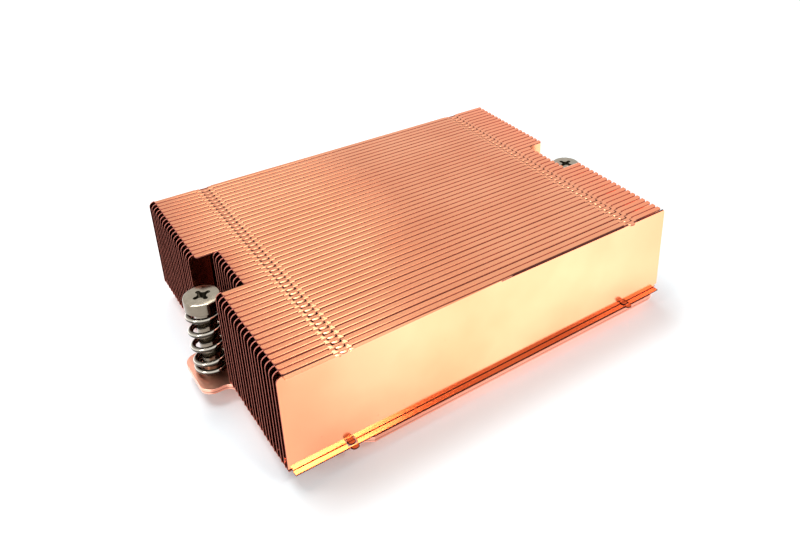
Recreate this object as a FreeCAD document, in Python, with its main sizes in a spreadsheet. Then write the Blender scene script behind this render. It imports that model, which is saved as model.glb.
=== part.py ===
"""Passive CPU heatsink for a 1U server: zipper fins on a copper plate with two captive spring screws.

Frame: millimetres, +Z up. The origin is on the contact face, the plate's underside, midway between
the two screws. +X runs along the fins, and the folds of the fins point to -Y, the front.
"""
import FreeCAD, Part
import math
import os
import re

import Sketcher

V = FreeCAD.Vector
doc = FreeCAD.newDocument("heatsink")

# ---------------------------------------------------------------- driving dimensions (mm, degrees)
SIZES = [
    # fin stack
    ("fin_count", 46),          # folded fins, numbered from the back
    ("fin_pitch", 1.72),
    ("sheet_gauge", 0.3),       # copper sheet of a fin
    ("fin_height", 23.8),
    ("wall_setback", 0.92),     # a full fin's ends, from the screws' axes
    ("wall_length", "=screw_spacing - 2 * wall_setback"),
    ("fold_relief", 1.1),       # the wall runs past its folds by this much at each end
    ("fold_bevel", 0.3),        # outside corner of each fold
    ("fold_gap", 0.04),         # fold's edge to the next wall
    ("wall_corner", 1.1),       # radius of the wall's upper corners, in three flats
    ("short_first", 19),        # the fins between the two screws are shorter
    ("short_fins", 9),
    # zipper: a tongue on each fold hooks over a notch in the next fin
    ("zip_inset", 12.7),        # tongue's middle from the end of a full fin, before the shift
    ("zip_offset", "=wall_length / 2 - zip_inset"),
    ("zip_shift", 0.75),        # both rows sit a little to the right
    ("zip_width", 3.6),
    ("zip_taper", 0.6),         # each flank of the tongue leans in by this
    ("zip_reach", 0.85),
    ("zip_clearance", 0.15),
    # the front fin's top fold is pressed down along its right half, which leaves a narrowing ledge
    ("ledge_end", 3.0),         # where the ledge has run out
    ("ledge_least", 0.45),      # what stays of it over the wall
    # base plate
    ("plate_thickness", 1.3),
    ("plate_inset", 0.55),      # plate's ends at the ears, inside the fins' ends
    ("plate_length", "=wall_length - 2 * plate_inset"),
    ("plate_end_taper", 1.1),   # the ends lean in towards the corners
    ("plate_margin", 0.2),      # plate in front of the last fold and behind the first wall
    ("corner_cut_along", 17.4), # the two long corner cuts
    ("corner_cut_across", 10.4),
    ("corner_radius", 3.0),
    ("ear_width", 14.2),
    ("ear_margin", 4.8),        # screw's axis to the ear's outer edge
    ("ear_radius", 3.0),
    ("ear_root_radius", 2.3),
    # captive screws
    ("screw_spacing", 104.14),
    ("screw_rise", 21.2),       # contact face to the top of the head
    ("head_diameter", 8.0),
    ("head_height", 2.85),
    ("head_bevel", 0.35),
    ("shank_diameter", 4.5),
    ("thread_diameter", 3.0),
    ("thread_length", 2.6),
    ("thread_lead", 1.5),       # cone that finds the hole
    ("thread_point", 0.5),      # flat at its end
    ("recess_width", 3.5),
    ("recess_wing", 0.95),
    ("recess_depth", 1.7),
    ("notch_clearance", 1.92),  # head to the ends of the shortened fins
    ("bore_clearance", 0.25),   # ear's hole round the shank
    # retaining rings
    ("ring_diameter", 7.2),
    ("ring_gauge", 0.5),
    ("ring_mouth", 2.6),
    ("ring_recess", 7.8),       # counterbore under the ear that takes the ring
    ("ring_recess_depth", 0.65),
    ("groove_depth", 0.55),
    ("ring_clearance", 0.06),
    ("collar_length", 0.6),
    # springs
    ("spring_diameter", 8.4),   # over the coils
    ("spring_wire", 1.2),
    ("spring_turns", 5.4),
    ("spring_start", -31),      # where round the screw the wire starts on the ear, in degrees
    ("closed_foot", 1.35),      # turns that lie closed on the ear
    ("closed_head", 0.75),      # and under the head
]
sheet = doc.addObject("Spreadsheet::Sheet", "sizes")
for row, (alias, value) in enumerate(SIZES, 1):
    sheet.set(f"A{row}", alias)
    sheet.setAlias(f"B{row}", alias)
for row, (alias, value) in enumerate(SIZES, 1):
    sheet.set(f"B{row}", str(value))
doc.recompute()
WORDS = re.compile(r"\b(" + "|".join(alias for alias, _ in SIZES) + r")\b")


def tied(text):
    """An expression written with the plain aliases, as FreeCAD reads it."""
    return WORDS.sub(r"sizes.\1", text)


def size(text):
    """The value that an expression has now."""
    return float(sheet.evalExpression(tied(text)))


# ---------------------------------------------------------------- helpers
def origin_plane(body, role):
    return next(f for f in body.Origin.OriginFeatures if f.Role == role)


def sketch_on(body, role, name, lift="0"):
    """An empty sketch on one of the body's origin planes, lifted along the plane's normal."""
    sketch = body.newObject("Sketcher::SketchObject", name)
    sketch.AttachmentSupport = [(origin_plane(body, role), "")]
    sketch.MapMode = "FlatFace"
    if lift != "0":
        sketch.setExpression("AttachmentOffset.Base.z", tied(lift))
    return sketch


def closed_outline(sketch, points):
    """A closed run of lines whose corners are each held by two expressions."""
    first = sketch.GeometryCount
    spots = [V(size(x), size(y), 0) for x, y in points]
    count = len(spots)
    for i in range(count):
        sketch.addGeometry(Part.LineSegment(spots[i], spots[(i + 1) % count]))
    for i in range(count):
        after = (i + 1) % count
        sketch.addConstraint(Sketcher.Constraint("Coincident", first + i, 2, first + after, 1))
    for i, (spot, corner) in enumerate(zip(spots, points)):
        for kind, value, text in (("DistanceX", spot.x, corner[0]), ("DistanceY", spot.y, corner[1])):
            row = sketch.addConstraint(Sketcher.Constraint(kind, -1, 1, first + i, 1, value))
            sketch.setExpression(f"Constraints[{row}]", tied(text))


def circle(sketch, radius, x="0", y="0"):
    """A circle held by its radius and its centre."""
    edge = sketch.addGeometry(Part.Circle(V(size(x), size(y), 0), V(0, 0, 1), size(radius)))
    for constraint, text in (
        (Sketcher.Constraint("Radius", edge, size(radius)), radius),
        (Sketcher.Constraint("DistanceX", -1, 1, edge, 3, size(x)), x),
        (Sketcher.Constraint("DistanceY", -1, 1, edge, 3, size(y)), y),
    ):
        row = sketch.addConstraint(constraint)
        sketch.setExpression(f"Constraints[{row}]", tied(text))


def feature(body, kind, name, profile, length=None, **settings):
    """A Pad, Pocket or Revolution of a sketch."""
    made = body.newObject("PartDesign::" + kind, name)
    made.Profile = profile
    for key, value in settings.items():
        setattr(made, key, value)
    if length:
        made.setExpression("Length", tied(length))
    doc.recompute()
    return made


def softened(body, kind, name, base, amount, wanted):
    """A Fillet or Chamfer on the edges of base that pass a test on the edge and its middle."""
    names = [
        f"Edge{i}" for i, edge in enumerate(base.Shape.Edges, 1)
        if len(edge.Vertexes) == 2 and wanted(edge, edge.CenterOfMass)
    ]
    made = body.newObject("PartDesign::" + kind, name)
    made.Base = (base, names)
    made.setExpression("Radius" if kind == "Fillet" else "Size", tied(amount))
    doc.recompute()
    return made


def along(edge, axis):
    """True for a straight edge that runs along an axis."""
    return abs(abs((edge.Vertexes[1].Point - edge.Vertexes[0].Point).normalize().dot(axis)) - 1) < 1e-6


def mirrored_pair(points, middle="0"):
    """The same outline on both sides of a middle."""
    return [(f"{middle} + {x}", y) for x, y in points], [(f"{middle} - ({x})", y) for x, y in reversed(points)]


# ---------------------------------------------------------------- folded fins
def folded_fin(name, length, zipped=("top",)):
    """One strip of sheet folded over at its top and bottom edge.

    The wall's back face is the plane y = 0, its foot is at z = 0, and both folds point to -Y.
    Each fold's small outside radius is one flat. The zipper along the foot is buried in the solder
    between the stack and the plate, so only the front fin, where it shows, has that one too.
    """
    body = doc.addObject("PartDesign::Body", name)
    body.Label = name
    tip = "-(fin_pitch - fold_gap)"

    # the channel: wall and both folds
    profile = sketch_on(body, "YZ_Plane", name + "_profile")
    closed_outline(profile, [
        ("0", "0"), ("0", "fin_height"),
        (tip, "fin_height"), (tip, "fin_height - sheet_gauge"),
        ("-sheet_gauge", "fin_height - sheet_gauge"), ("-sheet_gauge", "sheet_gauge"),
        (tip, "sheet_gauge"), (tip, "0"),
    ])
    channel = feature(body, "Pad", name + "_channel", profile, f"{length} - 2 * fold_relief", Midplane=True)
    softened(body, "Chamfer", name + "_folds", channel, "fold_bevel",
             lambda edge, mid: along(edge, V(1, 0, 0)) and abs(mid.y) < 1e-6)

    # the wall's bare ends, with rounded upper corners
    ends = sketch_on(body, "XZ_Plane", name + "_ends")
    for outline in mirrored_pair([
        (f"{length} / 2 - fold_relief", "0"), (f"{length} / 2", "0"),
        (f"{length} / 2", "fin_height - wall_corner"),
        (f"{length} / 2 - wall_corner * (1 - cos(30))", "fin_height - wall_corner * (1 - sin(30))"),
        (f"{length} / 2 - wall_corner * (1 - cos(60))", "fin_height - wall_corner * (1 - sin(60))"),
        (f"{length} / 2 - wall_corner", "fin_height"),
    ]):
        closed_outline(ends, outline)
    feature(body, "Pad", name + "_wall_ends", ends, "sheet_gauge")

    # the zipper
    for side in zipped:
        level, upward = ("fin_height", False) if side == "top" else ("0", True)
        notches = sketch_on(body, "XY_Plane", f"{name}_{side}_notches", level)
        for outline in mirrored_pair([
            ("zip_offset - zip_width / 2 - zip_clearance", "sheet_gauge"),
            ("zip_offset - zip_width / 2 - zip_clearance", "-(zip_reach + zip_clearance)"),
            ("zip_offset + zip_width / 2 + zip_clearance", "-(zip_reach + zip_clearance)"),
            ("zip_offset + zip_width / 2 + zip_clearance", "sheet_gauge"),
        ], "zip_shift"):
            closed_outline(notches, outline)
        feature(body, "Pocket", f"{name}_{side}_cut", notches, "sheet_gauge + 0.1", Reversed=upward)
        tongues = sketch_on(body, "XY_Plane", f"{name}_{side}_tongues", level)
        for outline in mirrored_pair([
            ("zip_offset - zip_width / 2", tip),
            ("zip_offset - zip_width / 2 + zip_taper", tip + " - zip_reach"),
            ("zip_offset + zip_width / 2 - zip_taper", tip + " - zip_reach"),
            ("zip_offset + zip_width / 2", tip),
        ], "zip_shift"):
            closed_outline(tongues, outline)
        feature(body, "Pad", f"{name}_{side}_tabs", tongues, "sheet_gauge", Reversed=not upward)
    return body


SHORT_LENGTH = "min(wall_length; screw_spacing - head_diameter - 2 * notch_clearance)"
full_fin = folded_fin("full_fin", "wall_length")
short_fin = folded_fin("short_fin", SHORT_LENGTH)
front_fin = folded_fin("front_fin", "wall_length", zipped=("top", "foot"))
pressed = sketch_on(front_fin, "XY_Plane", "pressed_fold", "fin_height")
closed_outline(pressed, [
    ("-wall_length / 2", "-fin_pitch + fold_gap"), ("ledge_end", "-ledge_least"),
    ("wall_length / 2", "-ledge_least"), ("wall_length / 2", "-2 * fin_pitch"),
    ("-wall_length / 2", "-2 * fin_pitch"),
])
feature(front_fin, "Pocket", "narrowing_ledge", pressed, "sheet_gauge + 0.1")

nodes = []
count, first = int(size("fin_count")), int(size("short_first"))
between_screws = range(first, first + int(size("short_fins")))
for number in range(1, count + 1):
    fin = doc.addObject("Part::Compound", f"fin_{number:02d}")
    fin.Label = f"fin_{number:02d}"
    fin.Links = [front_fin if number == count else short_fin if number in between_screws else full_fin]
    fin.setExpression("Placement.Base.y", tied(f"(fin_count / 2 + 1 - {number}) * fin_pitch"))
    fin.setExpression("Placement.Base.z", tied("plate_thickness"))
    nodes.append(fin)

# ---------------------------------------------------------------- base plate
plate = doc.addObject("PartDesign::Body", "base_plate")
plate.Label = "base_plate"
FRONT = "-(fin_count / 2 * fin_pitch + plate_margin)"
BACK = "fin_count / 2 * fin_pitch + plate_margin"
END = "plate_length / 2"
CORNER = "plate_length / 2 - plate_end_taper"
EAR_END = "screw_spacing / 2 + ear_margin"
outline = sketch_on(plate, "XY_Plane", "plate_outline")
closed_outline(outline, [
    (f"-({CORNER} + plate_end_taper / 4)", f"{FRONT} + corner_cut_across"),
    (f"-({END} - corner_cut_along)", FRONT),
    (CORNER, FRONT),
    (END, "-ear_width / 2"), (EAR_END, "-ear_width / 2"), (EAR_END, "ear_width / 2"), (END, "ear_width / 2"),
    (f"{CORNER} + plate_end_taper / 4", f"{BACK} - corner_cut_across"),
    (f"{END} - corner_cut_along", BACK),
    (f"-({CORNER})", BACK),
    (f"-({END})", "ear_width / 2"), (f"-({EAR_END})", "ear_width / 2"),
    (f"-({EAR_END})", "-ear_width / 2"), (f"-({END})", "-ear_width / 2"),
])
slab = feature(plate, "Pad", "plate_slab", outline, "plate_thickness")
ear_end, ear_side = size(EAR_END), size("ear_width / 2")
ear_corners = softened(plate, "Fillet", "ear_corners", slab, "ear_radius",
                       lambda edge, mid: along(edge, V(0, 0, 1)) and abs(abs(mid.x) - ear_end) < 1e-6)
ear_roots = softened(plate, "Fillet", "ear_roots", ear_corners, "ear_root_radius",
                     lambda edge, mid: along(edge, V(0, 0, 1)) and abs(abs(mid.y) - ear_side) < 1e-6
                     and abs(abs(mid.x) - size(END)) < 1e-6)
corner_x, front_y, back_y = size(CORNER), size(FRONT), size(BACK)
softened(plate, "Fillet", "plate_corners", ear_roots, "corner_radius",
         lambda edge, mid: along(edge, V(0, 0, 1)) and abs(abs(mid.x) - corner_x) < 1e-6
         and (abs(mid.y - front_y) < 1e-6 or abs(mid.y - back_y) < 1e-6))
bores = sketch_on(plate, "XY_Plane", "screw_bores")
for side in ("", "-"):
    circle(bores, "shank_diameter / 2 + bore_clearance", x=f"{side}screw_spacing / 2")
feature(plate, "Pocket", "screw_holes", bores, "plate_thickness", Reversed=True)
recesses = sketch_on(plate, "XY_Plane", "ring_recesses")
for side in ("", "-"):
    circle(recesses, "ring_recess / 2", x=f"{side}screw_spacing / 2")
feature(plate, "Pocket", "ring_counterbores", recesses, "ring_recess_depth", Reversed=True)
nodes.append(plate)


# ---------------------------------------------------------------- captive screws
def captive_screw(name, side):
    """A shoulder screw: cross-recessed pan head, plain shank, ring groove, collar and threaded tip."""
    body = doc.addObject("PartDesign::Body", name)
    body.Label = name
    seat = "screw_rise - head_height"
    groove_floor = "ring_recess_depth - ring_gauge - 2 * ring_clearance"
    collar_foot = f"{groove_floor} - collar_length"
    half = sketch_on(body, "XZ_Plane", name + "_profile")
    closed_outline(half, [
        ("0", f"{collar_foot} - thread_length"),
        ("thread_point / 2", f"{collar_foot} - thread_length"),
        ("thread_diameter / 2", f"{collar_foot} - thread_length + thread_lead"),
        ("thread_diameter / 2", collar_foot),
        ("shank_diameter / 2", collar_foot), ("shank_diameter / 2", groove_floor),
        ("shank_diameter / 2 - groove_depth", groove_floor),
        ("shank_diameter / 2 - groove_depth", "ring_recess_depth"),
        ("shank_diameter / 2", "ring_recess_depth"), ("shank_diameter / 2", seat),
        ("head_diameter / 2", seat), ("head_diameter / 2", "screw_rise - head_bevel"),
        ("head_diameter / 2 - head_bevel", "screw_rise"), ("0", "screw_rise"),
    ])
    turned = feature(body, "Revolution", name + "_turned", half, Angle=360.0)
    turned.ReferenceAxis = (half, ["V_Axis"])
    doc.recompute()
    cross = sketch_on(body, "XY_Plane", name + "_cross", "screw_rise")
    far, near = "recess_width / 2", "recess_wing / 2"
    closed_outline(cross, [
        (far, f"-{near}"), (far, near), (near, near), (near, far), (f"-{near}", far), (f"-{near}", near),
        (f"-{far}", near), (f"-{far}", f"-{near}"), (f"-{near}", f"-{near}"), (f"-{near}", f"-{far}"),
        (near, f"-{far}"), (near, f"-{near}"),
    ])
    feature(body, "Pocket", name + "_recess", cross, "recess_depth", TaperAngle=-12.0)
    body.setExpression("Placement.Base.x", tied(f"{side}screw_spacing / 2"))
    nodes.append(body)


# ---------------------------------------------------------------- retaining rings
def retaining_ring(name, side):
    """An open ring in the screw's groove, sunk in the ear's underside; its mouth faces outwards."""
    body = doc.addObject("PartDesign::Body", name)
    body.Label = name
    ring = sketch_on(body, "XY_Plane", name + "_ring")
    circle(ring, "ring_diameter / 2")
    circle(ring, "shank_diameter / 2 - groove_depth + ring_clearance")
    feature(body, "Pad", name + "_washer", ring, "ring_gauge")
    mouth = sketch_on(body, "XY_Plane", name + "_gap")
    closed_outline(mouth, [
        ("0", "-ring_mouth / 2"), (f"{side}ring_diameter", "-ring_mouth / 2"),
        (f"{side}ring_diameter", "ring_mouth / 2"), ("0", "ring_mouth / 2"),
    ])
    feature(body, "Pocket", name + "_mouth", mouth, "ring_gauge", Reversed=True)
    body.setExpression("Placement.Base.x", tied(f"{side}screw_spacing / 2"))
    body.setExpression("Placement.Base.z", tied("ring_recess_depth - ring_gauge - ring_clearance"))
    nodes.append(body)


# ---------------------------------------------------------------- springs
def compression_spring(name, side):
    """A coil of round wire between ear and head, which lies closed at each end.

    The wire runs in short straight steps with six flats round it, which keeps the facets few.
    """
    wire, turns = size("spring_wire"), size("spring_turns")
    mean = size("spring_diameter - spring_wire") / 2
    low = size("plate_thickness") + wire / 2
    high = size("screw_rise - head_height") - 0.55 * wire
    foot, head = size("closed_foot"), size("closed_head")
    closed_pitch = 1.04 * wire
    open_rise = high - low - closed_pitch * (foot + head)
    steps = int(turns * 14)
    points = []
    for i in range(steps + 1):
        turn = turns * i / steps
        opened = min(max(turn - foot, 0), turns - foot - head)
        height = low + closed_pitch * (turn - opened) + open_rise * opened / (turns - foot - head)
        angle = math.radians(size("spring_start")) + 2 * math.pi * turn
        points.append(V(mean * math.cos(angle), mean * math.sin(angle), height))
    heading = (points[1] - points[0]).normalize()
    out = heading.cross(V(0, 0, 1)).normalize()
    up = out.cross(heading)
    flats = 6
    rim = wire / 2 * math.sqrt(2 * math.pi / (flats * math.sin(2 * math.pi / flats)))   # same section area
    ring = [
        points[0] + out * (rim * math.cos(2 * math.pi * i / flats)) + up * (rim * math.sin(2 * math.pi * i / flats))
        for i in range(flats)
    ]
    section = Part.makePolygon(ring + ring[:1])
    spring = doc.addObject("Part::Feature", name)
    spring.Label = name
    spring.Shape = Part.makePolygon(points).makePipeShell([section], True, False, 1)
    spring.setExpression("Placement.Base.x", tied(f"{side}screw_spacing / 2"))
    nodes.append(spring)


for word, side in (("left", "-"), ("right", "")):
    captive_screw(word + "_screw", side)
    retaining_ring(word + "_ring", side)
    compression_spring(word + "_spring", side)

# ---------------------------------------------------------------- check and write
doc.recompute()
for thing in doc.Objects:
    if "Invalid" in thing.State or "Error" in thing.State:
        raise RuntimeError(f"{thing.Name}: {thing.State}")
for node in nodes:
    if node.Shape.isNull() or not node.Shape.isValid() or len(node.Shape.Solids) != 1:
        raise RuntimeError(f"{node.Label}: bad shape")
os.makedirs("parts", exist_ok=True)
for node in nodes:
    node.Shape.exportStep(f"parts/{node.Label}.step")
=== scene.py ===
import math

import bmesh
import bpy
from mathutils import Matrix, Vector


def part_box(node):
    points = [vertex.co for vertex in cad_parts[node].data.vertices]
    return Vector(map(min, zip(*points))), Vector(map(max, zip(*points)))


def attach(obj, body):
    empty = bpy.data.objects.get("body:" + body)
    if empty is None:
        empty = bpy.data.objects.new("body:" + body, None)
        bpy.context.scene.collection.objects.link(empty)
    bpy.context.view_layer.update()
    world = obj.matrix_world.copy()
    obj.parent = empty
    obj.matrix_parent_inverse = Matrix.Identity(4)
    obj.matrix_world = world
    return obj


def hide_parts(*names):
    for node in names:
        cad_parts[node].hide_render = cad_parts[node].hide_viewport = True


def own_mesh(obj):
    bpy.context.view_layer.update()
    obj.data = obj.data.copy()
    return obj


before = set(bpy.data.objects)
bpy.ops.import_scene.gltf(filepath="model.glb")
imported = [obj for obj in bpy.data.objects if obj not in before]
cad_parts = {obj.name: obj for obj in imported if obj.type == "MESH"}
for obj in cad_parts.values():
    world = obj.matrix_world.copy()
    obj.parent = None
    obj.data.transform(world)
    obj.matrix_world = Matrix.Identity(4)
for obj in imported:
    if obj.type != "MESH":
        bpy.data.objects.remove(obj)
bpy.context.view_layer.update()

# ---------------------------------------------------------------- camera
# A plain studio view from in front of the left corner, looking down on the fins. The lens is shifted to
# frame the part without turning the camera.
mm = 0.001
camera = bpy.data.objects.new("camera", bpy.data.cameras.new("camera"))
bpy.context.collection.objects.link(camera)
camera_place = Vector((-88.01, -152.03, 128.97)) * mm
heading, dip, roll = (math.radians(angle) for angle in (37.06, 26.235, 0.54))
look = Vector((math.sin(heading) * math.cos(dip), math.cos(heading) * math.cos(dip), -math.sin(dip)))
level = Vector((math.cos(heading), -math.sin(heading), 0))
upward = level.cross(look)
across = level * math.cos(roll) + upward * math.sin(roll)
upward = upward * math.cos(roll) - level * math.sin(roll)
camera.matrix_world = (
    Matrix.Translation(camera_place) @ Matrix((across, upward, -look)).transposed().to_4x4())
camera.data.sensor_width = 36
camera.data.lens = 36.71
camera.data.shift_x, camera.data.shift_y = -0.1186, -0.155
camera.data.clip_start, camera.data.clip_end = 0.005, 20
bpy.context.scene.camera = camera
bpy.context.scene.view_settings.view_transform = "Standard"

# ---------------------------------------------------------------- paper and light
# Seamless white paper under the part, which stands on the tips of its two screws, and soft lamps round it.
# The paper keeps the part's shadow. Polished copper shows the paper with painted light, brighter than the
# lamps make it, as in a light tent.


def paint(code):
    """An sRGB hex colour as Blender's linear one."""
    parts = [int(code[i:i + 2], 16) / 255 for i in (1, 3, 5)]
    return tuple(p / 12.92 if p <= 0.04045 else ((p + 0.055) / 1.055) ** 2.4 for p in parts) + (1.0,)


def add_node(tree, kind, sockets=None, **settings):
    """Adds a node. sockets gives an input's value, or the output that it takes it from."""
    made = tree.nodes.new(kind)
    for key, value in settings.items():
        setattr(made, key, value)
    for key, value in (sockets or {}).items():
        if isinstance(value, bpy.types.NodeSocket):
            tree.links.new(value, made.inputs[key])
        else:
            made.inputs[key].default_value = value
    return made


def new_material(name):
    """An empty node material, its tree and its output node."""
    material = bpy.data.materials.new(name)
    material.use_nodes = True
    material.node_tree.nodes.clear()
    return material, material.node_tree, material.node_tree.nodes.new("ShaderNodeOutputMaterial")


def as_mesh(made, name):
    """What has been built, as a plain mesh."""
    mesh = bpy.data.meshes.new(name)
    made.to_mesh(mesh)
    made.free()
    return mesh


def new_piece(name, mesh):
    """An object for a finished mesh, at the origin."""
    made = bpy.data.objects.new(name, mesh)
    bpy.context.collection.objects.link(made)
    return made


# looked at directly: matt white, with a little light of its own
paper, tree, out = new_material("white_paper")
path = add_node(tree, "ShaderNodeLightPath")
matt = add_node(tree, "ShaderNodeBsdfDiffuse", {"Color": paint("#EEF1F5")})
glow = add_node(tree, "ShaderNodeEmission", {"Color": paint("#FFFFFF"), "Strength": 1.0})
plain = add_node(tree, "ShaderNodeBsdfDiffuse", {"Color": paint("#E3EBEE")})
lit = add_node(tree, "ShaderNodeMixShader", {0: 0.10, 1: plain.outputs[0], 2: glow.outputs[0]})

# mirrored in metal: painted light, which rises along the part's front and falls again, and is highest at its
# foot
spot = add_node(tree, "ShaderNodeSeparateXYZ", {
    "Vector": add_node(tree, "ShaderNodeTexCoord").outputs["Object"]})
along_front = add_node(tree, "ShaderNodeMapRange", {
    "Value": spot.outputs["X"], "From Min": -62 * mm, "From Max": 58 * mm})
gleam = add_node(tree, "ShaderNodeValToRGB", {"Fac": along_front.outputs[0]})
gleam.color_ramp.elements[0].color = (0.48, 0.48, 0.48, 1)
gleam.color_ramp.elements[1].color = (0.56, 0.56, 0.56, 1)
gleam.color_ramp.elements.new(0.17).color = (0.50, 0.50, 0.52, 1)
gleam.color_ramp.elements.new(0.5).color = (0.96, 1.0, 1.0, 1)
plate_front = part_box("base_plate")[0][1]
by_the_foot = add_node(tree, "ShaderNodeMapRange", {
    "Value": spot.outputs["Y"], "From Min": plate_front - 18 * mm, "From Max": plate_front - 3 * mm,
    "To Min": 0.95, "To Max": 1.3})
extra = add_node(tree, "ShaderNodeEmission", {
    "Color": gleam.outputs["Color"], "Strength": by_the_foot.outputs[0]})

# and painted shade makes it duller at the part's left end than at its right
twice = add_node(tree, "ShaderNodeAddShader", {0: matt.outputs[0], 1: matt.outputs[0]})
dull = add_node(tree, "ShaderNodeBsdfDiffuse", {"Color": paint("#C4C2C4")})
edge_of_shade = add_node(tree, "ShaderNodeMapRange", {
    "Value": spot.outputs["X"], "From Min": -62 * mm, "From Max": -42 * mm, "To Min": 0.20, "To Max": 0.10})
farther = add_node(tree, "ShaderNodeMapRange", {
    "Value": spot.outputs["X"], "From Min": -42 * mm, "From Max": 45 * mm, "To Min": 0.0, "To Max": 0.45})
painted_light_share = add_node(tree, "ShaderNodeMath", {0: edge_of_shade.outputs[0], 1: farther.outputs[0]})
bright = add_node(tree, "ShaderNodeMixShader", {
    0: painted_light_share.outputs[0], 1: dull.outputs[0], 2: twice.outputs[0]})
bright = add_node(tree, "ShaderNodeAddShader", {0: bright.outputs[0], 1: extra.outputs[0]})
seen = add_node(tree, "ShaderNodeMixShader", {
    0: path.outputs["Is Camera Ray"], 1: matt.outputs[0], 2: lit.outputs[0]})
mirrored = add_node(tree, "ShaderNodeMixShader", {
    0: path.outputs["Is Glossy Ray"], 1: seen.outputs[0], 2: bright.outputs[0]})
tree.links.new(mirrored.outputs[0], out.inputs["Surface"])

sheet_of_paper = bmesh.new()
table_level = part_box("left_screw")[0][2] - 0.05 * mm
bmesh.ops.create_grid(sheet_of_paper, x_segments=1, y_segments=1, size=2.0)
for corner in sheet_of_paper.verts:
    corner.co.z = table_level
floor = new_piece("paper", as_mesh(sheet_of_paper, "paper"))
floor.data.materials.append(paper)

world = bpy.data.worlds.new("studio")
bpy.context.scene.world = world
world.use_nodes = True
tree = world.node_tree
tree.nodes.clear()
path = add_node(tree, "ShaderNodeLightPath")
room = add_node(tree, "ShaderNodeBackground", {"Color": paint("#F4F4F6"), "Strength": 0.6})
white = add_node(tree, "ShaderNodeBackground", {"Color": paint("#FFFFFF"), "Strength": 1.0})
direct = add_node(tree, "ShaderNodeMath", {
    0: path.outputs["Is Camera Ray"], 1: path.outputs["Is Glossy Ray"]}, operation="MAXIMUM")
direct = add_node(tree, "ShaderNodeMath", {
    0: direct.outputs[0], 1: path.outputs["Is Transmission Ray"]}, operation="MAXIMUM")
backdrop = add_node(tree, "ShaderNodeMixShader", {
    0: direct.outputs[0], 1: room.outputs[0], 2: white.outputs[0]})
add_node(tree, "ShaderNodeOutputWorld", {"Surface": backdrop.outputs[0]})


def softbox(name, place, aim, width, depth, power, tint):
    """A rectangular lamp turned to a point, in metres and watts."""
    lamp = bpy.data.lights.new(name, "AREA")
    lamp.shape, lamp.size, lamp.size_y = "RECTANGLE", width, depth
    lamp.energy, lamp.color = power, paint(tint)[:3]
    made = bpy.data.objects.new(name, lamp)
    bpy.context.collection.objects.link(made)
    made.location = place
    made.rotation_euler = (Vector(aim) - Vector(place)).to_track_quat("-Z", "Y").to_euler()


softbox("overhead", (-0.15, 0.28, 0.85), (0, 0, 0), 0.6, 0.3, 6.8, "#FFFFFF")
softbox("overhead_right", (0.25, 0.52, 0.85), (0, 0, 0), 0.3, 0.3, 1.0, "#FFFAF0")
softbox("front_left", (0.135, -0.53, 0.575), (0, -0.04, 0), 0.15, 0.09, 1.4, "#FFFAF2")
softbox("left_side", (-0.6, -0.06, 0.3), (-0.05, 0, 0), 0.1, 0.3, 1.0, "#FFFFFF")
softbox("right_side", (0.54, -0.38, 0.44), (0.05, -0.04, 0), 0.12, 0.16, 0.3, "#FFF8EE")

# ---------------------------------------------------------------- folded fins
# 46 strips of thin copper sheet, folded over along the top and the foot, stand close behind one another.
# A rounded tongue on each top fold hooks into a slot in the fold in front, in two rows, like a zipper.
sheet_thickness = 0.3                             # millimetres, as all sizes of this section
fin_pitch = 1.72
tight_bend, front_bend = 0.46, 0.45               # outside radius of a fold, in the stack and at its front
fold_gap = 0.08                                   # from a fold's edge to the next wall
fold_reach = fin_pitch - fold_gap
fold_corner = 0.6                                 # the ends of a fold are rounded
left_relief, right_relief = 1.35, 0.85            # the wall runs past its top fold
wall_corner = 1.3                                 # radius of its upper corners
zipper_rows = (-37.7, 39.2)
tongue_half, tongue_reach, tongue_rise = 0.9, 1.28, 0.14
tab_half, tab_reach = 1.95, 0.36                  # the tab that carries the tongue over the groove
window_end, slit = 1.42, 0.2                      # the next tongue's window, and the cuts beside it
pucker_rise = 0.055                               # the sheet stands up a little where a tab was pressed
roll_width, roll_drop = 0.17, 0.034               # a sheared edge rolls over
back_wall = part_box("fin_01")[1][1] / mm
foot_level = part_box("fin_01")[0][2] / mm
fin_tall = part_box("fin_01")[1][2] / mm - foot_level
fin_count = sum(name.startswith("fin_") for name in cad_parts)
front_wall = back_wall - (fin_count - 1) * fin_pitch
full_length = (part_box("fin_01")[1][0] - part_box("fin_01")[0][0]) / mm
short_length = (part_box("fin_23")[1][0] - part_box("fin_23")[0][0]) / mm


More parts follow.
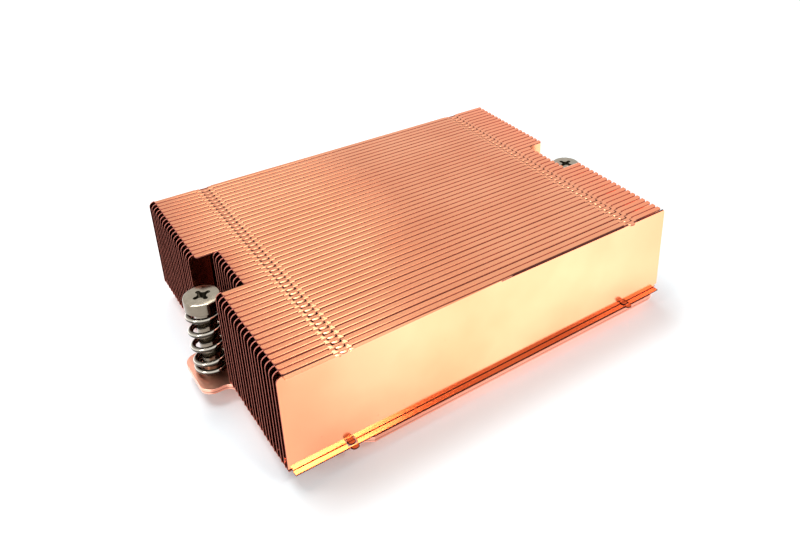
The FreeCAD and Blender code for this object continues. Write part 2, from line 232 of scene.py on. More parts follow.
def fin_sheet(name, length, ledge=None, ledge_turns=()):
    """One fin as a sheet of its outer surface, in metres, with its wall at y = 0 and its foot at z = 0.

    The sheet is made of upright ribbons between stations, which stand close where an edge turns. ledge is
    for the front fin, which has a zipper at its foot too: how far its top fold reaches at each x.
    """
    half, bend = length / 2, front_bend if ledge else tight_bend
    fold_from, fold_to = left_relief - half, half - right_relief
    # where the foot fold ends, and the height that the bare wall starts at beyond it
    foot_end, bare_foot = (half - right_relief, 1.1) if ledge else (half - 0.12, bend)
    corner_steps, bend_steps, tongue_steps, ledge_steps = 4, 6, 4, 12

    stations = {-half, half, fold_from, fold_to, -foot_end, foot_end, -0.3 * half, 0.05 * half}
    for i in range(1, corner_steps + 1):
        inset = wall_corner * (1 - math.cos(math.pi / 2 * i / corner_steps))
        stations |= {half - inset, inset - half}
    for row in zipper_rows:
        for offset in (0, 0.25, 0.5, 0.75, tongue_half, tongue_half + slit,
                       1.35, 1.6, tab_half, tab_half + slit):
            stations |= {row - offset, row + offset}
    for inset in (0.08, 0.3, fold_corner):
        stations |= {fold_to - inset, fold_from + inset}
    if ledge:
        stations |= {*ledge_turns, *(-half + length * i / ledge_steps for i in range(1, ledge_steps))}
    stations = sorted(stations)
    stations = [x for i, x in enumerate(stations) if i == 0 or x - stations[i - 1] > 1e-4]

    made = bmesh.new()
    placed = {}

    def point(x, y, z):
        """The vertex at a place, made once."""
        key = (round(x, 4), round(y, 4), round(z, 4))
        if key not in placed:
            placed[key] = made.verts.new((x * mm, y * mm, z * mm))
        return placed[key]

    def panel(*corners):
        """A face between corners, unless they meet or the face is there already."""
        ring = []
        for corner_point in corners:
            vertex = point(*corner_point)
            if vertex not in ring:
                ring.append(vertex)
        if len(ring) > 2 and not made.faces.get(ring):
            made.faces.new(ring)

    def ribbon(line, flip=False):
        """Panels from the left station to the right one. line gives the points at an x."""
        a, b = line(left), line(right)
        for i in range(len(a) - 1):
            start, end = (i + 1, i) if flip else (i, i + 1)
            panel(a[start], a[end], b[end], b[start])

    def off_row(x):
        """How far x is from the middle of the nearer zipper row."""
        return min(abs(x - row) for row in zipper_rows)

    def roundness(x):
        """1 at the middle of a tongue, and 0.4 at its flanks and beyond."""
        return 0.4 + 0.6 * math.sqrt(max(1 - min(off_row(x) / tongue_half, 1) ** 2, 0))

    def bend_line(i):
        """A point of a fold's bend: its depth in front of the wall, and its drop from the fold's face."""
        turn = math.pi / 2 / bend_steps * i
        return bend * (1 - math.sin(turn)), bend * (1 - math.cos(turn))

    def top_bend(x):
        return [(x, -depth, fin_tall - drop) for depth, drop in map(bend_line, range(bend_steps + 1))]

    def foot_bend(x):
        return [(x, -depth, drop) for depth, drop in map(bend_line, range(bend_steps + 1))]

    def top_fold(x):
        """From the bend, or the far side of a slot, to the fold's edge."""
        from_end = min(x - fold_from, fold_to - x)
        cut_back = fold_corner - math.sqrt(max(fold_corner ** 2 - max(fold_corner - from_end, 0) ** 2, 0))
        full_reach = ledge(x) if ledge else fin_pitch + tab_reach if near < tab_half else fold_reach
        edge = full_reach - cut_back
        first = min(fold_start, edge)
        flat = max(edge - roll_width, first)
        pucker = pucker_rise * max(math.sin(math.pi * min(max(off_row(x) - 1.0, 0) / 0.95, 1)), 0)
        straight = ledge or near < tongue_half or from_end < 0.7
        drop = 0 if straight else roll_drop * min(max((15 - x) / 30, 0), 1)      # most at the left end
        return [(x, -first, fin_tall), (x, -(first + flat) / 2, fin_tall + pucker),
                (x, -flat, fin_tall), (x, -edge, fin_tall - drop)]

    def tongue(x):
        """Over the groove, from the tab to the tongue's tip, slightly domed."""
        line = []
        for t in (i / tongue_steps for i in range(tongue_steps + 1)):
            rise = tongue_rise * math.sin(math.pi * min(t, 0.8)) * (roundness(x) - 0.4) / 0.6
            reach = tab_reach + t * (tongue_reach - tab_reach) * roundness(x)
            line.append((x, -(fin_pitch + reach), fin_tall + rise))
        return line

    def foot_tongue(x):
        """The front fin's own tongue at its foot, bent up a little."""
        return [(x, -fold_reach - t * 1.1 * roundness(x), 0.22 * t) for t in (0, 0.5, 1)]

    def tongue_behind(x):
        """The tongue of the fin behind, which lies in the front fin's window."""
        return [(x, 0.15 - t * (0.15 + 1.25 * roundness(x)), 0.24 * t) for t in (0, 0.5, 1)]

    def wall_top(x):
        """The wall's height at x, with its rounded upper corners."""
        rounded = math.sqrt(max(wall_corner ** 2 - max(abs(x) - (half - wall_corner), 0) ** 2, 0))
        return fin_tall - wall_corner + rounded

    def shoulder(x):
        """Where the wall meets its fold's bend."""
        return min(fin_tall - bend, wall_top(x))

    for left, right in zip(stations, stations[1:]):
        middle = (left + right) / 2
        near = off_row(middle)
        in_tongue, in_slot, beside_tab = (near < reach for reach in (
            tongue_half, tongue_half + slit, tab_half + slit))
        if fold_from < middle < fold_to:
            fold_start = window_end if in_slot else tab_reach + slit if beside_tab else bend
            if not beside_tab:
                ribbon(top_bend)
            ribbon(top_fold)
            if in_tongue and not ledge:
                ribbon(tongue)
        else:
            ribbon(lambda x: [(x, 0, shoulder(x)), (x, 0, wall_top(x))])
        footed = abs(middle) < foot_end
        low = bend if footed else bare_foot
        ribbon(lambda x: [(x, 0, low), (x, 0, fin_tall - wall_corner), (x, 0, shoulder(x))])
        if footed:
            in_window = ledge and in_slot
            if not in_window:
                ribbon(foot_bend, flip=True)
            foot_start = window_end if in_window else bend
            ribbon(lambda x: [(x, -fold_reach, 0), (x, -foot_start, 0)])
            if ledge and in_tongue:
                ribbon(foot_tongue, flip=True)
                ribbon(tongue_behind, flip=True)
        elif not ledge:
            ribbon(lambda x: [(x, 0, 0), (x, 0, bend)])
    bmesh.ops.recalc_face_normals(made, faces=made.faces)
    wall = max(made.faces, key=lambda face: face.calc_area())
    if wall.normal.y < 0:
        bmesh.ops.reverse_faces(made, faces=made.faces)
    draft = new_piece(name, as_mesh(made, name))
    draft.data.materials.append(None)                 # the sheet's faces
    draft.data.materials.append(None)                 # its cut edges
    thick = draft.modifiers.new("sheet", "SOLIDIFY")
    thick.thickness, thick.offset = sheet_thickness * mm, -1
    thick.material_offset_rim = 1
    return draft


def baked(piece):
    """The piece as its modifiers leave it, as a plain mesh."""
    return bpy.data.meshes.new_from_object(piece.evaluated_get(bpy.context.evaluated_depsgraph_get()))


def thrown_away(*pieces):
    """Removes drafts and cutters with their meshes."""
    for piece in pieces:
        mesh = piece.data
        bpy.data.objects.remove(piece)
        bpy.data.meshes.remove(mesh)


drafts = [fin_sheet("full_fin", full_length), fin_sheet("short_fin", short_length)]
patterns = [new_piece(draft.name + "_pattern", baked(draft)) for draft in drafts]
thrown_away(*drafts)

# Copper strip, cold rolled and bright: a mirror with a faint grain along the strip, so that reflections
# near a surface stay sharp and far ones blur. Handling leaves small dull specks and a slow warmth in the
# tone. A redder reflection is painted towards one end, and painted shade darkens the foot folds and the
# channels' walls.
copper_sheet, tree, out = new_material("bright_rolled_copper_sheet")
where = add_node(tree, "ShaderNodeTexCoord").outputs["Object"]
along = add_node(tree, "ShaderNodeMapping", {"Vector": where, "Scale": (60, 2600, 2600)})      # 0.4 mm apart
grain = add_node(tree, "ShaderNodeTexNoise", {"Vector": along.outputs[0], "Scale": 1.0, "Detail": 3.0})
patches = add_node(tree, "ShaderNodeTexNoise", {"Vector": where, "Scale": 45.0, "Detail": 3.0})       # 20 mm
tone = add_node(tree, "ShaderNodeValToRGB", {"Fac": patches.outputs["Fac"]})
tone.color_ramp.elements[0].position, tone.color_ramp.elements[0].color = 0.32, paint("#EC9A71")
tone.color_ramp.elements[1].position, tone.color_ramp.elements[1].color = 0.68, paint("#F5A980")
dots = add_node(tree, "ShaderNodeTexVoronoi", {"Vector": where, "Scale": 480.0})                # 2 mm apart
some = add_node(tree, "ShaderNodeSeparateXYZ", {"Vector": dots.outputs["Color"]})
sizes = add_node(tree, "ShaderNodeMapRange", {
    "Value": some.outputs["X"], "From Min": 0.55, "From Max": 1.0, "To Min": 0.0, "To Max": 0.10})
speck = add_node(tree, "ShaderNodeMath", {
    0: dots.outputs["Distance"], 1: sizes.outputs[0]}, operation="LESS_THAN")
speck = add_node(tree, "ShaderNodeMath", {0: speck.outputs[0], 1: 0.4}, operation="MULTIPLY")
spotted = add_node(tree, "ShaderNodeMix", {
    "Factor": speck.outputs[0], "A": tone.outputs["Color"], "B": paint("#B87A55")}, data_type="RGBA")
# painted reflection: redder at the right end
spot = add_node(tree, "ShaderNodeSeparateXYZ", {"Vector": where})
painted_redness = add_node(tree, "ShaderNodeMapRange", {
    "Value": spot.outputs["X"], "From Min": 34 * mm, "From Max": 50 * mm, "To Min": 0.0, "To Max": 0.55})
with_painted_redness = add_node(tree, "ShaderNodeMix", {
    "Factor": painted_redness.outputs[0], "A": spotted.outputs["Result"], "B": paint("#FF9066")}, data_type="RGBA")
# painted shade along the foot folds
foot_fold = add_node(tree, "ShaderNodeMath", {
    0: spot.outputs["Z"], 1: (foot_level + 0.5) * mm}, operation="LESS_THAN")
foot_fold = add_node(tree, "ShaderNodeMath", {0: foot_fold.outputs[0], 1: 0.7}, operation="MULTIPLY")
shaded = add_node(tree, "ShaderNodeMix", {
    "Factor": foot_fold.outputs[0], "A": with_painted_redness.outputs["Result"], "B": paint("#D27E5A")},
    data_type="RGBA")
# painted shade inside the channels, but not where the wall beside the right screw lies open
middle_of_stack, half_depth = (back_wall + front_wall) / 2, (back_wall - front_wall) / 2
in_stack = add_node(tree, "ShaderNodeMath", {
    0: spot.outputs["Y"], 1: middle_of_stack * mm, 2: (half_depth - 0.1) * mm}, operation="COMPARE")
under_folds = add_node(tree, "ShaderNodeMath", {
    0: spot.outputs["Z"], 1: (foot_level + fin_tall - 0.6) * mm}, operation="LESS_THAN")
channel = add_node(tree, "ShaderNodeMath", {
    0: in_stack.outputs[0], 1: under_folds.outputs[0]}, operation="MULTIPLY")
bright_end = add_node(tree, "ShaderNodeMath", {
    0: spot.outputs["X"], 1: short_length / 2 * mm}, operation="LESS_THAN")
channel = add_node(tree, "ShaderNodeMath", {
    0: channel.outputs[0], 1: bright_end.outputs[0]}, operation="MULTIPLY")
# and duller on the stack's left half
left_half = add_node(tree, "ShaderNodeMapRange", {
    "Value": spot.outputs["X"], "From Min": -15 * mm, "From Max": 25 * mm, "To Min": 0.45, "To Max": 0.0})
left_dulling = add_node(tree, "ShaderNodeMath", {
    0: in_stack.outputs[0], 1: left_half.outputs[0]}, operation="MULTIPLY")
duller = add_node(tree, "ShaderNodeMix", {
    "Factor": left_dulling.outputs[0], "A": shaded.outputs["Result"], "B": paint("#D88862")}, data_type="RGBA")
hidden = add_node(tree, "ShaderNodeMix", {
    "Factor": channel.outputs[0], "A": duller.outputs["Result"], "B": paint("#9A5642")}, data_type="RGBA")
shine = add_node(tree, "ShaderNodeMapRange", {
    "Value": grain.outputs["Fac"], "From Min": 0.3, "From Max": 0.7, "To Min": 0.13, "To Max": 0.21})
slow = add_node(tree, "ShaderNodeTexNoise", {"Vector": where, "Scale": 24.0, "Detail": 1.0})          # 40 mm
swell = add_node(tree, "ShaderNodeBump", {
    "Height": slow.outputs["Fac"], "Strength": 0.25, "Distance": 0.8 * mm})
fine = add_node(tree, "ShaderNodeBump", {
    "Height": grain.outputs["Fac"], "Strength": 0.10, "Distance": 0.02 * mm, "Normal": swell.outputs[0]})
metal = add_node(tree, "ShaderNodeBsdfPrincipled", {
    "Base Color": hidden.outputs["Result"], "Metallic": 1.0, "Roughness": shine.outputs[0],
    "Normal": fine.outputs[0]})
tree.links.new(metal.outputs[0], out.inputs["Surface"])

# The sheared edges of the strip: torn copper, matt and red beside the rolled faces.
sheared_copper, tree, out = new_material("sheared_copper_edge")
where = add_node(tree, "ShaderNodeTexCoord").outputs["Object"]
tears = add_node(tree, "ShaderNodeTexNoise", {"Vector": where, "Scale": 1800.0, "Detail": 2.0})       # 0.5 mm
tone = add_node(tree, "ShaderNodeMix", {
    "Factor": tears.outputs["Fac"], "A": paint("#9A5246"), "B": paint("#C88274")}, data_type="RGBA")
metal = add_node(tree, "ShaderNodeBsdfPrincipled", {
    "Base Color": tone.outputs["Result"], "Roughness": 0.6, "Specular IOR Level": 0.0})
tree.links.new(metal.outputs[0], out.inputs["Surface"])

# The same copper painted almost black, as painted shade for the front fin's crease, foot edge and top groove.
tarnished_copper, tree, out = new_material("tarnished_copper")
where = add_node(tree, "ShaderNodeTexCoord").outputs["Object"]
shade_mottle = add_node(tree, "ShaderNodeTexNoise", {"Vector": where, "Scale": 1200.0, "Detail": 2.0})        # 0.8 mm
tone = add_node(tree, "ShaderNodeMix", {
    "Factor": shade_mottle.outputs["Fac"], "A": paint("#240A06"), "B": paint("#5A1C12")}, data_type="RGBA")
metal = add_node(tree, "ShaderNodeBsdfPrincipled", {
    "Base Color": tone.outputs["Result"], "Roughness": 0.6, "Specular IOR Level": 0.1})
tree.links.new(metal.outputs[0], out.inputs["Surface"])

# the stack: a row of points from back to front, with a full or a short fin on each, a little out of line
stack = bpy.data.node_groups.new("fin_stack", "GeometryNodeTree")
inputs = {}
for label, kind in (
    ("Full Fin", "NodeSocketObject"), ("Short Fin", "NodeSocketObject"), ("Fins", "NodeSocketInt"),
    ("First Short", "NodeSocketInt"), ("Short Fins", "NodeSocketInt"), ("Pitch", "NodeSocketFloat"),
    ("Back", "NodeSocketFloat"), ("Foot", "NodeSocketFloat"), ("Unevenness", "NodeSocketFloat"),
    ("Sheet", "NodeSocketMaterial"), ("Cut Edge", "NodeSocketMaterial"),
):
    inputs[label] = stack.interface.new_socket(name=label, in_out="INPUT", socket_type=kind).identifier
stack.interface.new_socket(name="Fin Stack", in_out="OUTPUT", socket_type="NodeSocketGeometry")
given = add_node(stack, "NodeGroupInput").outputs
start = add_node(stack, "ShaderNodeCombineXYZ", {"Y": given["Back"], "Z": given["Foot"]})
forward = add_node(stack, "ShaderNodeMath", {0: given["Pitch"], 1: -1.0}, operation="MULTIPLY")
step = add_node(stack, "ShaderNodeCombineXYZ", {"Y": forward.outputs[0]})
row = add_node(stack, "GeometryNodeMeshLine", {
    "Count": given["Fins"], "Start Location": start.outputs[0], "Offset": step.outputs[0]})
number = add_node(stack, "GeometryNodeInputIndex").outputs[0]
least = add_node(stack, "ShaderNodeMath", {0: given["Unevenness"], 1: -1.0}, operation="MULTIPLY")
nudge = add_node(stack, "FunctionNodeRandomValue", {
    "Min": least.outputs[0], "Max": given["Unevenness"], "ID": number, "Seed": 11}, data_type="FLOAT")
sideways = add_node(stack, "FunctionNodeRandomValue", {
    "Min": least.outputs[0], "Max": given["Unevenness"], "ID": number, "Seed": 5}, data_type="FLOAT")
shift = add_node(stack, "ShaderNodeCombineXYZ")
for random_value, axis in ((sideways, "X"), (nudge, "Y")):
    number_output = next(output for output in random_value.outputs if output.enabled)
    stack.links.new(number_output, shift.inputs[axis])
row = add_node(stack, "GeometryNodeSetPosition", {"Geometry": row.outputs[0], "Offset": shift.outputs[0]})
last_short = add_node(stack, "ShaderNodeMath", {
    0: given["First Short"], 1: given["Short Fins"]}, operation="ADD")
# the index starts at 0 and the fins' numbers at 1, so halves keep the comparisons clear of both
past = add_node(stack, "ShaderNodeMath", {0: given["First Short"], 1: 1.5}, operation="SUBTRACT")
from_short = add_node(stack, "FunctionNodeCompare", {0: number, 1: past.outputs[0]},
                      data_type="FLOAT", operation="GREATER_THAN")
past = add_node(stack, "ShaderNodeMath", {0: last_short.outputs[0], 1: 1.5}, operation="SUBTRACT")
to_short = add_node(stack, "FunctionNodeCompare", {0: number, 1: past.outputs[0]},
                    data_type="FLOAT", operation="LESS_THAN")
is_short = add_node(stack, "FunctionNodeBooleanMath", {0: from_short.outputs[0], 1: to_short.outputs[0]},
                    operation="AND")
is_full = add_node(stack, "FunctionNodeBooleanMath", {0: is_short.outputs[0]}, operation="NOT")
parts = []
for label, chosen in (("Full Fin", is_full), ("Short Fin", is_short)):
    fin = add_node(stack, "GeometryNodeObjectInfo", {"Object": given[label]})
    parts.append(add_node(stack, "GeometryNodeInstanceOnPoints", {
        "Points": row.outputs[0], "Selection": chosen.outputs[0], "Instance": fin.outputs["Geometry"]}))
joined = add_node(stack, "GeometryNodeJoinGeometry")
for placed in parts:
    stack.links.new(placed.outputs[0], joined.inputs[0])
whole = add_node(stack, "GeometryNodeRealizeInstances", {0: joined.outputs[0]})
which = add_node(stack, "GeometryNodeInputMaterialIndex")
rim = add_node(stack, "FunctionNodeCompare", {2: which.outputs[0], 3: 1}, data_type="INT", operation="EQUAL")
cut = add_node(stack, "GeometryNodeSetMaterial", {
    "Geometry": whole.outputs[0], "Selection": rim.outputs[0], "Material": given["Cut Edge"]})
face = add_node(stack, "FunctionNodeBooleanMath", {0: rim.outputs[0]}, operation="NOT")
rolled = add_node(stack, "GeometryNodeSetMaterial", {
    "Geometry": cut.outputs[0], "Selection": face.outputs[0], "Material": given["Sheet"]})
add_node(stack, "NodeGroupOutput", {0: rolled.outputs[0]})

for pattern in patterns:
    pattern.data.materials[0], pattern.data.materials[1] = copper_sheet, sheared_copper
short_fins = [number for number in range(1, fin_count + 1)
              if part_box(f"fin_{number:02d}")[1][0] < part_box("fin_01")[1][0] - 1 * mm]
draft = new_piece("fin_stack_draft", bpy.data.meshes.new("fin_stack_draft"))
grown = draft.modifiers.new("fin_stack", "NODES")
grown.node_group = stack
for label, value in (
    ("Full Fin", patterns[0]), ("Short Fin", patterns[1]), ("Fins", fin_count - 1),
    ("First Short", short_fins[0]), ("Short Fins", len(short_fins)), ("Pitch", fin_pitch * mm),
    ("Back", back_wall * mm), ("Foot", foot_level * mm), ("Unevenness", 0.05 * mm),
    ("Sheet", copper_sheet), ("Cut Edge", sheared_copper),
):
    grown[inputs[label]] = value
fin_stack = new_piece("fin_stack", baked(draft))
thrown_away(draft, *patterns)
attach(fin_stack, "sink")
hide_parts(*(f"fin_{number:02d}" for number in range(1, fin_count)))

# ---------------------------------------------------------------- front fin
# The last strip of the stack. Its top fold has nothing in front to hold it, and has been pressed down
# towards the right, so that only a narrowing ledge is left of it.
front = f"fin_{fin_count:02d}"
ledge_end, ledge_least = 3.0, 0.5                 # from here to the right, this much stays of the ledge


def ledge_reach(x):
    """How far the top fold reaches in front of the wall."""
    left_end = -full_length / 2
    part = min(max((x - left_end) / (ledge_end - left_end), 0), 1)
    return fold_reach + (ledge_least - fold_reach) * part


draft = fin_sheet("front_fin_draft", full_length, ledge=ledge_reach, ledge_turns=(ledge_end,))
front_mesh = baked(draft)
thrown_away(draft)
front_mesh.transform(Matrix.Translation((0, front_wall * mm, foot_level * mm)))
front_mesh.materials[0], front_mesh.materials[1] = copper_sheet, sheared_copper
front_mesh.materials.append(tarnished_copper)
for polygon in front_mesh.polygons:
    ahead = front_wall - polygon.center.y / mm
    above = polygon.center.z / mm - foot_level
    beside = polygon.center.x / mm
    on_top = above > fin_tall - front_bend
    creased = 0.28 < ahead < 0.47 and 0.28 < above < 0.47           # where the foot fold meets the wall
    foot_edge = polygon.material_index == 1 and above < 0.4
    pressed = beside > ledge_end and on_top
    corner = beside < zipper_rows[0] - tab_half and on_top and ahead < 0.3
    burnished = above > fin_tall - 0.4 and ahead > 0.6              # the ledge's edge
    # painted shade: the crease, the foot's cut edge and the groove along the top get the near-black copper
    if creased or foot_edge or pressed or corner:
        polygon.material_index = 2
    elif burnished:
        polygon.material_index = 0
front_fin = new_piece("front_fin", front_mesh)
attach(front_fin, "sink")
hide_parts(front)

# ---------------------------------------------------------------- base plate
# Copper plate, milled to outline and face, with an ear at each end for a screw. Milling leaves a satin
# face with fine parallel lines, and the sharp edges have been broken with a light chamfer.
milled_copper, tree, out = new_material("milled_copper_plate")
where = add_node(tree, "ShaderNodeTexCoord").outputs["Object"]
across_plate = add_node(tree, "ShaderNodeMapping", {
    "Vector": where, "Scale": (3000, 120, 120)})                    # lines 0.3 mm apart
lines = add_node(tree, "ShaderNodeTexNoise", {
    "Vector": across_plate.outputs[0], "Scale": 1.0, "Detail": 2.0})
patches = add_node(tree, "ShaderNodeTexNoise", {"Vector": where, "Scale": 90.0, "Detail": 3.0})       # 10 mm
tone = add_node(tree, "ShaderNodeMix", {
    "Factor": patches.outputs["Fac"], "A": paint("#EA9E84"), "B": paint("#FFC6AE")}, data_type="RGBA")
shine = add_node(tree, "ShaderNodeMapRange", {"Value": lines.outputs["Fac"], "To Min": 0.28, "To Max": 0.40})
fine = add_node(tree, "ShaderNodeBump", {
    "Height": lines.outputs["Fac"], "Strength": 0.15, "Distance": 0.02 * mm})
# a near-black line runs low along the edge, and painted shade darkens the front and the back faces
height = add_node(tree, "ShaderNodeSeparateXYZ", {"Vector": where})
low_line = add_node(tree, "ShaderNodeMath", {
    0: height.outputs["Z"], 1: 0.48 * mm, 2: 0.08 * mm}, operation="COMPARE")
low_line = add_node(tree, "ShaderNodeMath", {0: low_line.outputs[0], 1: 0.75}, operation="MULTIPLY")
facing = add_node(tree, "ShaderNodeSeparateXYZ", {
    "Vector": add_node(tree, "ShaderNodeTexCoord").outputs["Normal"]})
long_edge = add_node(tree, "ShaderNodeMath", {0: facing.outputs["Y"]}, operation="ABSOLUTE")
long_edge = add_node(tree, "ShaderNodeMapRange", {
    "Value": long_edge.outputs[0], "From Min": 0.8, "From Max": 0.95, "To Min": 0.0, "To Max": 0.7})
shaded_faces = add_node(tree, "ShaderNodeMix", {
    "Factor": long_edge.outputs[0], "A": tone.outputs["Result"], "B": paint("#A4604C")}, data_type="RGBA")
marked = add_node(tree, "ShaderNodeMix", {
    "Factor": low_line.outputs[0], "A": shaded_faces.outputs["Result"], "B": paint("#3A1610")}, data_type="RGBA")
metal = add_node(tree, "ShaderNodeBsdfPrincipled", {
    "Base Color": marked.outputs["Result"], "Metallic": 1.0, "Roughness": shine.outputs[0],
    "Normal": fine.outputs[0]})
tree.links.new(metal.outputs[0], out.inputs["Surface"])


def eased(node, width, material):
    """Joins a CAD node's loose triangles, breaks its sharp edges and gives it its finish."""
    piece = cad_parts[node]
    piece.modifiers.new("joined", "WELD").merge_threshold = 0.002 * mm
    edge = piece.modifiers.new("edges", "BEVEL")
    edge.width, edge.segments = width * mm, 2
    edge.limit_method, edge.angle_limit = "ANGLE", math.radians(35)
    piece.data.materials.clear()
    piece.data.materials.append(material)


eased("base_plate", 0.15, milled_copper)

# ---------------------------------------------------------------- captive screws
# Cross-recessed shoulder screws, turned from steel bar and nickel plated: a warm grey mirror with the
# lathe's fine rings on head and shank. A collar keeps the ring under the ear; the thread is below it.


def screw_axis(side):
    """The x of a screw's axis, in metres."""
    low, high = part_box(f"{side}_screw")
    return (low[0] + high[0]) / 2


nickel, tree, out = new_material("nickel_plated_steel")
where = add_node(tree, "ShaderNodeTexCoord").outputs["Object"]
spot = add_node(tree, "ShaderNodeSeparateXYZ", {"Vector": where})
# the lathe's rings run round the nearer screw's axis
either_side = add_node(tree, "ShaderNodeMath", {0: spot.outputs["X"]}, operation="ABSOLUTE")
off_axis = add_node(tree, "ShaderNodeMath", {
    0: either_side.outputs[0], 1: screw_axis("right")}, operation="SUBTRACT")
flat_spot = add_node(tree, "ShaderNodeCombineXYZ", {"X": off_axis.outputs[0], "Y": spot.outputs["Y"]})
off_centre = add_node(tree, "ShaderNodeVectorMath", {0: flat_spot.outputs[0]}, operation="LENGTH")
tool_path = add_node(tree, "ShaderNodeMath", {0: off_centre.outputs["Value"], 1: spot.outputs["Z"]})
turning = add_node(tree, "ShaderNodeTexNoise", {
    "W": tool_path.outputs[0], "Scale": 3500.0, "Detail": 1.0}, noise_dimensions="1D")                # 0.3 mm
mottle = add_node(tree, "ShaderNodeTexNoise", {"Vector": where, "Scale": 700.0, "Detail": 3.0})       # 1.5 mm
tone = add_node(tree, "ShaderNodeMix", {
    "Factor": mottle.outputs["Fac"], "A": paint("#8A8070"), "B": paint("#B4A998")}, data_type="RGBA")
# painted shade: upright faces are darker
facing = add_node(tree, "ShaderNodeSeparateXYZ", {
    "Vector": add_node(tree, "ShaderNodeTexCoord").outputs["Normal"]})
flank = add_node(tree, "ShaderNodeMapRange", {
    "Value": facing.outputs["Z"], "From Min": 0.2, "From Max": 0.6, "To Min": 0.65, "To Max": 0.0})
shaded_flanks = add_node(tree, "ShaderNodeMix", {
    "Factor": flank.outputs[0], "A": tone.outputs["Result"], "B": paint("#4C453B")}, data_type="RGBA")
shine = add_node(tree, "ShaderNodeMapRange", {"Value": mottle.outputs["Fac"], "To Min": 0.10, "To Max": 0.22})
fine = add_node(tree, "ShaderNodeBump", {
    "Height": turning.outputs["Fac"], "Strength": 0.35, "Distance": 0.03 * mm})
metal = add_node(tree, "ShaderNodeBsdfPrincipled", {
    "Base Color": shaded_flanks.outputs["Result"], "Metallic": 1.0, "Roughness": shine.outputs[0],
    "Normal": fine.outputs[0]})
tree.links.new(metal.outputs[0], out.inputs["Surface"])

# Painted shade: the recess is coloured almost black.
recess_shade_nickel, tree, out = new_material("soiled_nickel_recess")
where = add_node(tree, "ShaderNodeTexCoord").outputs["Object"]
shade_mottle = add_node(tree, "ShaderNodeTexNoise", {"Vector": where, "Scale": 1500.0, "Detail": 2.0})        # 0.7 mm
tone = add_node(tree, "ShaderNodeMix", {
    "Factor": shade_mottle.outputs["Fac"], "A": paint("#17140F"), "B": paint("#4A4334")}, data_type="RGBA")
metal = add_node(tree, "ShaderNodeBsdfPrincipled", {
    "Base Color": tone.outputs["Result"], "Metallic": 0.7, "Roughness": 0.45})
tree.links.new(metal.outputs[0], out.inputs["Surface"])


def turned(name, outline, axis_x, flats=72):
    """A solid turned round the screw's axis from an outline of radius and height."""
    made = bmesh.new()
    rings = []
    for radius, height in outline:
        ring = []
        for k in range(1 if radius == 0 else flats):
            angle = 2 * math.pi * k / flats
            ring.append(made.verts.new(
                Vector((axis_x + radius * math.cos(angle), radius * math.sin(angle), height)) * mm))
        rings.append(ring)
    for low, over in zip(rings, rings[1:]):
        for k in range(flats):
            corners = (low[k % len(low)], low[(k + 1) % len(low)],
                       over[(k + 1) % len(over)], over[k % len(over)])
            made.faces.new(dict.fromkeys(corners))    # at the axis two corners are the same point
    bmesh.ops.recalc_face_normals(made, faces=made.faces)
    return as_mesh(made, name)


def cross_cutter(axis_x, top):
    """A tapered cross with rounded wings, for the driver's recess."""
    made = bmesh.new()
    wing = [(0.66, -0.66), (1.00, -0.42), (1.45, -0.50), (1.82, -0.38), (1.98, 0.0),
            (1.82, 0.38), (1.45, 0.50), (1.00, 0.42)]
    turned_by = 13                                    # degrees, as the screw was left
    rings = []
    for height, scale in ((top + 0.3, 1.1), (top - 0.5, 0.94), (top - 1.2, 0.72), (top - 1.7, 0.35)):
        ring = []
        for quarter in range(4):
            turn = math.radians(turned_by + 90 * quarter)
            for x, y in wing:
                ring.append(made.verts.new(Vector((
                    axis_x + scale * (x * math.cos(turn) - y * math.sin(turn)),
                    scale * (x * math.sin(turn) + y * math.cos(turn)), height)) * mm))
        rings.append(ring)
    for low, over in zip(rings, rings[1:]):
        for k in range(len(low)):
            after = (k + 1) % len(low)
            made.faces.new((low[k], low[after], over[after], over[k]))
    made.faces.new(rings[0])
    made.faces.new(rings[-1])
    bmesh.ops.recalc_face_normals(made, faces=made.faces)
    return new_piece("cross_cutter", as_mesh(made, "cross_cutter"))


tip, top = (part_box("left_screw")[i][2] / mm for i in (0, 1))
collar_foot, seat = tip + 2.6, top - 2.85
groove_foot, groove_top = collar_foot + 0.6, collar_foot + 1.22
crest, root, shank, groove, head = 1.5, 1.2, 2.25, 1.7, 4.0         # radii
outline = [(0, tip), (0.25, tip), (1.15, tip + 1.1)]
outline += [(crest if i % 2 else root, tip + 1.3 + 0.125 * i) for i in range(10)]
outline += [
    (1.3, collar_foot), (shank - 0.1, collar_foot), (shank, collar_foot + 0.1), (shank, groove_foot),
    (groove, groove_foot), (groove, groove_top), (shank, groove_top), (shank, seat - 0.25),
    (shank + 0.07, seat), (head - 0.1, seat), (head, seat + 0.12), (head, top - 0.34),
    (head - 0.07, top - 0.16), (head - 0.2, top - 0.05), (head - 0.4, top), (0, top)]
for side in ("left", "right"):
    axis_x = screw_axis(side) / mm
    blank = new_piece(f"{side}_blank", turned(f"{side}_blank", outline, axis_x))
    cutter = cross_cutter(axis_x, top)
    recess = blank.modifiers.new("recess", "BOOLEAN")
    recess.operation, recess.object, recess.solver = "DIFFERENCE", cutter, "EXACT"
    mesh = baked(blank)
    thrown_away(blank, cutter)
    mesh.polygons.foreach_set("use_smooth", [True] * len(mesh.polygons))
    mesh.set_sharp_from_angle(angle=math.radians(35))
    mesh.materials.clear()
    mesh.materials.append(nickel)
    mesh.materials.append(recess_shade_nickel)
    for polygon in mesh.polygons:                     # painted shade in the recess
        centre = polygon.center / mm - Vector((axis_x, 0, top))
        if -1.75 < centre.z < -0.02 and math.hypot(centre.x, centre.y) < 2.3:
            polygon.material_index = 1
    screw = new_piece(f"{side}_shoulder_screw", mesh)
    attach(screw, f"{side}_driver")
    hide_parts(f"{side}_screw")

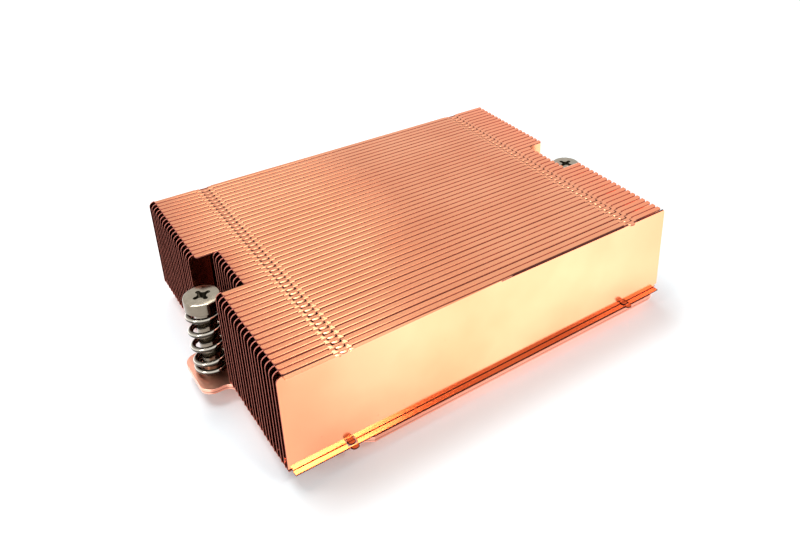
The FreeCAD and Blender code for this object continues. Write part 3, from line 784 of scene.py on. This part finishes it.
# ---------------------------------------------------------------- retaining rings
# Open spring steel rings, stamped and oiled, snapped into each screw's groove under the ear. They are
# dark grey and only half bright.
spring_steel, tree, out = new_material("oiled_spring_steel")
where = add_node(tree, "ShaderNodeTexCoord").outputs["Object"]
mottle = add_node(tree, "ShaderNodeTexNoise", {"Vector": where, "Scale": 900.0, "Detail": 2.0})         # 1 mm
tone = add_node(tree, "ShaderNodeMix", {
    "Factor": mottle.outputs["Fac"], "A": paint("#6E6A66"), "B": paint("#8C8782")}, data_type="RGBA")
metal = add_node(tree, "ShaderNodeBsdfPrincipled", {
    "Base Color": tone.outputs["Result"], "Metallic": 1.0, "Roughness": 0.3})
tree.links.new(metal.outputs[0], out.inputs["Surface"])
for side in ("left", "right"):
    eased(f"{side}_ring", 0.05, spring_steel)

# ---------------------------------------------------------------- springs
# Compression springs of round nickel-plated wire, one on each screw between ear and head. The last turn
# at each end lies flat. Painted shade darkens the wire's flanks, and a painted highlight lightens its crown.
drawn_wire, tree, out = new_material("nickel_plated_wire")
coordinates = add_node(tree, "ShaderNodeTexCoord").outputs
facing = add_node(tree, "ShaderNodeSeparateXYZ", {"Vector": coordinates["Normal"]})
up_or_down = add_node(tree, "ShaderNodeMapRange", {
    "Value": facing.outputs["Z"], "From Min": -1.0, "From Max": 1.0})
# painted shade and a painted highlight: the wire's colour follows the way each part of it faces
oiled = add_node(tree, "ShaderNodeValToRGB", {"Fac": up_or_down.outputs[0]})
oiled.color_ramp.elements[0].position, oiled.color_ramp.elements[0].color = 0.05, paint("#8A8074")
oiled.color_ramp.elements[1].position, oiled.color_ramp.elements[1].color = 0.98, paint("#6A6258")
for position, code in ((0.32, "#2A2620"), (0.62, "#37322B"), (0.80, "#E6DED0")):
    oiled.color_ramp.elements.new(position).color = paint(code)
metal = add_node(tree, "ShaderNodeBsdfPrincipled", {
    "Base Color": oiled.outputs["Color"], "Metallic": 1.0, "Roughness": 0.1})
tree.links.new(metal.outputs[0], out.inputs["Surface"])

wire, coil_radius, turns = 1.2, 3.6, 5.4          # millimetres, to the wire's middle, and turns
closed_foot, closed_head = 1.35, 0.75             # turns that lie closed on the ear and under the head
closed_pitch = 1.02 * wire
wire_start = math.radians(-31)
wire_flats, steps_a_turn = 16, 50
steps = int(turns * steps_a_turn)
ear_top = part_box("base_plate")[1][2]
for side in ("left", "right"):
    axis_x = screw_axis(side) / mm
    under = ear_top / mm + wire / 2 + 0.02            # the wire's middle at the ear, just clear of it
    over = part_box(f"{side}_spring")[1][2] / mm - wire / 2
    open_rise = over - under - closed_pitch * (closed_foot + closed_head)
    open_turns = turns - closed_foot - closed_head
    coil = bmesh.new()
    rings = []
    for i in range(steps + 1):
        turn = turns * i / steps
        opened = min(max(turn - closed_foot, 0), open_turns)
        height = under + closed_pitch * (turn - opened) + open_rise * opened / open_turns
        angle = wire_start + 2 * math.pi * turn
        outward = Vector((math.cos(angle), math.sin(angle), 0))
        ring = []
        for k in range(wire_flats):
            around = 2 * math.pi * k / wire_flats
            place = Vector((axis_x, 0, height)) + outward * (coil_radius + wire / 2 * math.cos(around))
            place.z += wire / 2 * math.sin(around)
            ring.append(coil.verts.new(place * mm))
        rings.append(ring)
    for a, b in zip(rings, rings[1:]):
        for k in range(wire_flats):
            after = (k + 1) % wire_flats
            coil.faces.new((a[k], a[after], b[after], b[k]))
    coil.faces.new(rings[0])
    coil.faces.new(reversed(rings[-1]))
    bmesh.ops.recalc_face_normals(coil, faces=coil.faces)
    mesh = as_mesh(coil, f"{side}_coil")
    for polygon in mesh.polygons:                     # the cut ends of the wire stay flat
        polygon.use_smooth = len(polygon.vertices) == 4
    mesh.materials.append(drawn_wire)
    spring = new_piece(f"{side}_coil", mesh)
    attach(spring, "sink")
    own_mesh(spring)
    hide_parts(f"{side}_spring")
